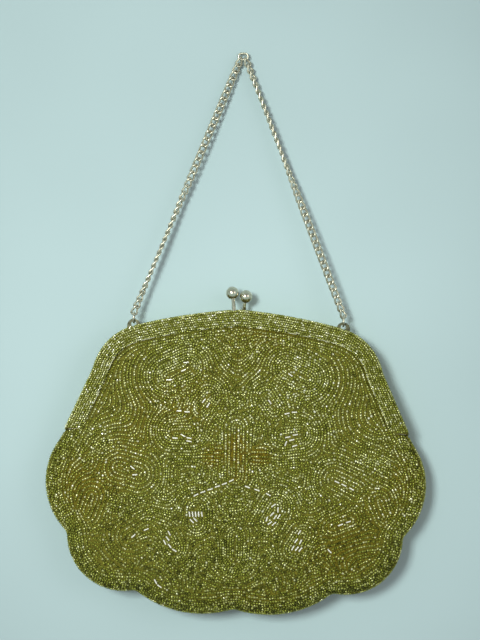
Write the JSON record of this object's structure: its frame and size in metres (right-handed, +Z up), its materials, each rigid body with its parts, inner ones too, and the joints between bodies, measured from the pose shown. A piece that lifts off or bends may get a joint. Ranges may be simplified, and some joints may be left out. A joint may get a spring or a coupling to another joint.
{
  "type": "beaded evening bag",
  "caption": "Beaded evening bag with a scalloped pouch on a kiss-lock frame that opens at side hinges, and a curb-chain handle that swings on end rings.",
  "frame": {"origin": "the hanging point: middle of the chain's top link, where a hook, pin or finger passes", "axes": "+Z up, +X across the bag to the right as seen from the front, front facing -Y"},
  "size_m": [0.2188, 0.0272, 0.3241],
  "materials": {
    "beadwork": "rows of small glass seed beads with long bugle beads on cloth, glossy",
    "piping_cord": "beaded rim with a pale thread seam",
    "lining_satin": "soft satin",
    "frame_metal": "dark gilt, slightly worn",
    "lock_metal": "polished pale gilt",
    "chain_metal": "pale gilt, worn"
  },
  "bodies": {
    "handle": {"apex_link": "chain_metal", "chain_left": "chain_metal", "chain_right": "chain_metal", "left_end_ring": "chain_metal", "right_end_ring": "chain_metal"},
    "back_frame": {"back_frame_channel": "frame_metal", "back_frame_cover": "beadwork", "back_lock_ball": "lock_metal", "left_chain_lug": "frame_metal", "right_chain_lug": "frame_metal", "left_hinge_rivet": "frame_metal", "right_hinge_rivet": "frame_metal", "back_panel_upper": "beadwork", "back_lining_upper": "lining_satin"},
    "pouch": {"front_panel_lower": "beadwork", "back_panel_lower": "beadwork", "front_lining_lower": "lining_satin", "back_lining_lower": "lining_satin", "edge_piping": "piping_cord", "slip_pocket": "lining_satin"},
    "front_frame": {"front_frame_channel": "frame_metal", "front_frame_cover": "beadwork", "front_lock_ball": "lock_metal", "front_panel_upper": "beadwork", "front_lining_upper": "lining_satin"}
  },
  "joints": [
    {"name": "handle_swing", "type": "hinge", "parent": "handle", "child": "back_frame", "pos_m": [0, 0, -0.15322], "axis": [1, 0, 0], "range_deg": [-90, 90]},
    {"name": "back_opening", "type": "hinge", "parent": "back_frame", "child": "pouch", "pos_m": [0, 0, -0.21797], "axis": [1, 0, 0], "range_deg": [0, 30]},
    {"name": "front_opening", "type": "hinge", "parent": "pouch", "child": "front_frame", "pos_m": [0, 0, -0.21797], "axis": [1, 0, 0], "range_deg": [0, 30]}
  ],
  "couplings": [
    {"joint": "front_opening", "follows": "back_opening", "ratio": 1}
  ]
}
